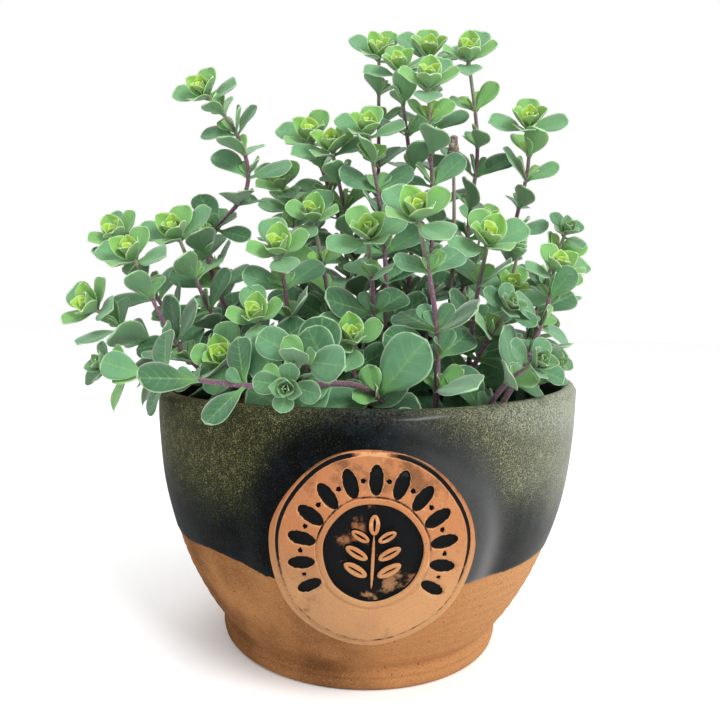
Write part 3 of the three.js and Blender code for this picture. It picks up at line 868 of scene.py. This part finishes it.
def makeShoots():
    random.seed(11)
    crowd = Crowd()
    finishes = {"leafy": (makeLeafFinish(), makeStemFinish("fuzzy_purple_stem", False)),
                "dry": (makeDryFinish(), makeStemFinish("dry_grey_stem", True))}
    finishes["budding"] = finishes["leafy"]
    paths = {name: stemPath(route) for name, _, _, route in shoots}
    for name, path in paths.items():
        for point in path[::3]:
            crowd.put([(point, 1.4)], name)
    triangles = 0
    for name, bare, kind, _ in shoots:
        growth = Growth()
        path = paths[name]
        radius = plantShape["stemRadius"]
        addStem(growth, path, radius, radius * (0.62 if kind == "leafy" else 0.5))
        if kind == "leafy":
            growLeafyShoot(growth, crowd, name, path, bare)
        elif kind == "budding":
            growLeafyShoot(growth, crowd, name, path[:int(len(path) * 0.8)], bare)
            growHead(growth, crowd, name, path, 0.55, plantShape["budWhorls"])
        else:
            growHead(growth, crowd, name, path, 0.2, plantShape["dryWhorls"])
        piece = makePiece("grown_" + name, growth.vertices, growth.faces, finishes[kind], growth.materialOf,
                          {"across": growth.across, "along": growth.along, "tone": growth.tone,
                           "under": growth.under})
        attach(piece, "root")
        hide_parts(name)
        triangles += 2 * len(growth.faces)
    print("shoots grown:", len(shoots), "with about", triangles, "triangles")


leafColours = {
    "old": (0.028, 0.108, 0.040), "blueGreen": (0.108, 0.265, 0.132), "fresh": (0.17, 0.41, 0.085),
    "heart": (0.50, 0.72, 0.09), "margin": (0.50, 0.70, 0.44), "vein": (0.20, 0.38, 0.13),
    "under": (0.13, 0.27, 0.125),
}


def makeLeafFinish():
    c = leafColours
    finish = Finish("fuzzy_sage_green_leaf", Specular_IOR_Level=0.3, Sheen_Weight=0.25, Sheen_Roughness=0.5,
                    Subsurface_Weight=0.12, Subsurface_Scale=0.0015)
    across = finish.attribute("across")
    along = finish.attribute("along")
    tone = finish.attribute("tone")
    fromMiddle = finish.node("ShaderNodeMath", {"operation": "ABSOLUTE"}, {0: across * 2 - 1})
    patch = finish.cloud(140, 3)
    young = tone + patch * 0.3 - 0.15
    base = finish.mix(finish.step(young, 0.0, 0.35), c["old"], c["blueGreen"])
    base = finish.mix(finish.step(young, 0.25, 0.65), base, c["fresh"])
    base = finish.mix(finish.step(young, 0.6, 1.0), base, c["heart"])
    # the stalk end is yellower, and side veins run forward from the midrib
    stalk = (1 - finish.step(along, 0.05, 0.5)) * 0.5
    base = finish.mix(stalk, base, c["fresh"])
    wave = finish.node("ShaderNodeMath", {"operation": "SINE"}, {0: (along - fromMiddle * 0.22) * 42})
    sideVeins = finish.step(wave, 0.75, 1.0) * (1 - fromMiddle) * 0.28
    midrib = (1 - finish.step(fromMiddle, 0.02, 0.11)) * (1 - along * 0.6)
    veins = midrib * 0.55 + sideVeins
    base = finish.mix(veins, base, c["vein"])
    base = finish.mix(finish.attribute("under") * 0.65, base, c["under"])
    atTip = finish.step(along, 0.93, 1.0)
    margin = finish.step(fromMiddle + atTip, 0.9, 0.99) * (finish.step(tone, 0.2, 0.7) * 0.45 + 0.45)
    colour = finish.mix(margin, base, c["margin"])
    fuzz = finish.cloud(2200, 2, 0.7)
    height = fuzz * 0.35 - veins * 0.9 + patch * 0.3
    return finish.finish(colour, 0.62 + fuzz * 0.12, height, 0.5, 0.0003)


stemColours = {
    "woody": (0.075, 0.042, 0.03), "purple": (0.13, 0.055, 0.09), "green": (0.20, 0.24, 0.13),
    "dryFoot": (0.10, 0.065, 0.045), "dryTip": (0.24, 0.19, 0.15), "fuzz": (0.48, 0.42, 0.40),
    "bractDark": (0.13, 0.10, 0.075), "bractPale": (0.42, 0.38, 0.32),
}


def makeStemFinish(name, dry):
    c = stemColours
    finish = Finish(name, Specular_IOR_Level=0.3, Sheen_Weight=0.35, Sheen_Roughness=0.5)
    along = finish.attribute("along")
    fuzz = finish.cloud(1400, 3, 0.7)
    if dry:
        base = finish.mix(along, c["dryFoot"], c["dryTip"])
    else:
        base = finish.mix(finish.step(along, 0.05, 0.45), c["woody"], c["purple"])
        base = finish.mix(finish.step(along, 0.8, 1.0), base, c["green"])
    colour = finish.mix(finish.step(fuzz, 0.5, 0.75) * 0.5, base, c["fuzz"])
    return finish.finish(colour, 0.8, fuzz, 0.6, 0.0003)


def makeDryFinish():
    finish = Finish("dry_grey_bract", Specular_IOR_Level=0.2)
    patch = finish.cloud(400, 4, 0.6)
    colour = finish.mix(finish.step(patch, 0.4, 0.65), stemColours["bractDark"], stemColours["bractPale"])
    return finish.finish(colour, 0.9, patch, 0.7, 0.0004)


# camera lengths in millimetres and angles in degrees
studio = {
    "distance": 250, "height": 120, "sideways": -3, "azimuth": -1.8, "lookDown": 4.5, "roll": 2.0,
    "lens": 33.2, "floorReach": 3000, "floorShade": (0.962, 0.965, 0.972), "floorTone": (0.975, 0.977, 0.98),
    "worldStrength": 1.0,
}

# place and aim in metres, size in metres and power in watts
lights = {
    "key_light": ((0.55, -0.75, 0.95), (0, 0, 0.1), 0.45, 13),
    "fill_light": ((-0.9, -0.5, 0.6), (0, 0, 0.1), 0.8, 0.8),
    "rim_light": ((0.1, 0.9, 0.9), (0, 0, 0.15), 0.7, 4),
}


def makeStage():
    reach = studio["floorReach"]
    vertices = [(x, y, 0) for y in (-reach, reach) for x in (-reach, reach)]
    finish = Finish("plain_pale_floor")
    cloud = finish.cloud(3, 2)
    colour = finish.mix(cloud, studio["floorShade"], studio["floorTone"])
    floorFinish = finish.finish(colour, 0.8, cloud, 0.0, 0.001)
    floor = makePiece("studio_floor", vertices, [(0, 1, 3, 2)], [floorFinish])
    world = bpy.data.worlds.new("soft_studio")
    world.use_nodes = True
    world.node_tree.nodes["Background"].inputs["Color"].default_value = (1, 1, 1, 1)
    world.node_tree.nodes["Background"].inputs["Strength"].default_value = studio["worldStrength"]
    bpy.context.scene.world = world


def addLight(name, place, aim, size, power):
    data = bpy.data.lights.new(name, "AREA")
    data.size = size
    data.energy = power
    lamp = bpy.data.objects.new(name, data)
    lamp.location = place
    lamp.rotation_euler = (Vector(aim) - Vector(place)).to_track_quat("-Z", "Y").to_euler()
    bpy.context.scene.collection.objects.link(lamp)


def makeCamera():
    data = bpy.data.cameras.new("front_camera")
    data.lens = studio["lens"]
    data.clip_start = 0.01
    camera = bpy.data.objects.new("front_camera", data)
    upright = Matrix.Rotation(math.radians(90 - studio["lookDown"]), 4, "X")
    turned = upright @ Matrix.Rotation(math.radians(studio["roll"]), 4, "Z")
    place = Vector((studio["sideways"], -studio["distance"], studio["height"])) * mm
    around = Matrix.Rotation(math.radians(studio["azimuth"]), 4, "Z")
    camera.matrix_world = around @ Matrix.Translation(place) @ turned
    bpy.context.scene.collection.objects.link(camera)
    bpy.context.scene.camera = camera


makeCamera()
makeStage()
for name, light in lights.items():
    addLight(name, *light)
bpy.context.scene.view_settings.view_transform = "Standard"
print("stage, light and camera ready")
makePot()
print("pot made")
makeMedallion()
print("medallion made")
makeSoil()
print("soil made")
makeShoots()
makeFallenLeaves()
print("fallen leaves laid")
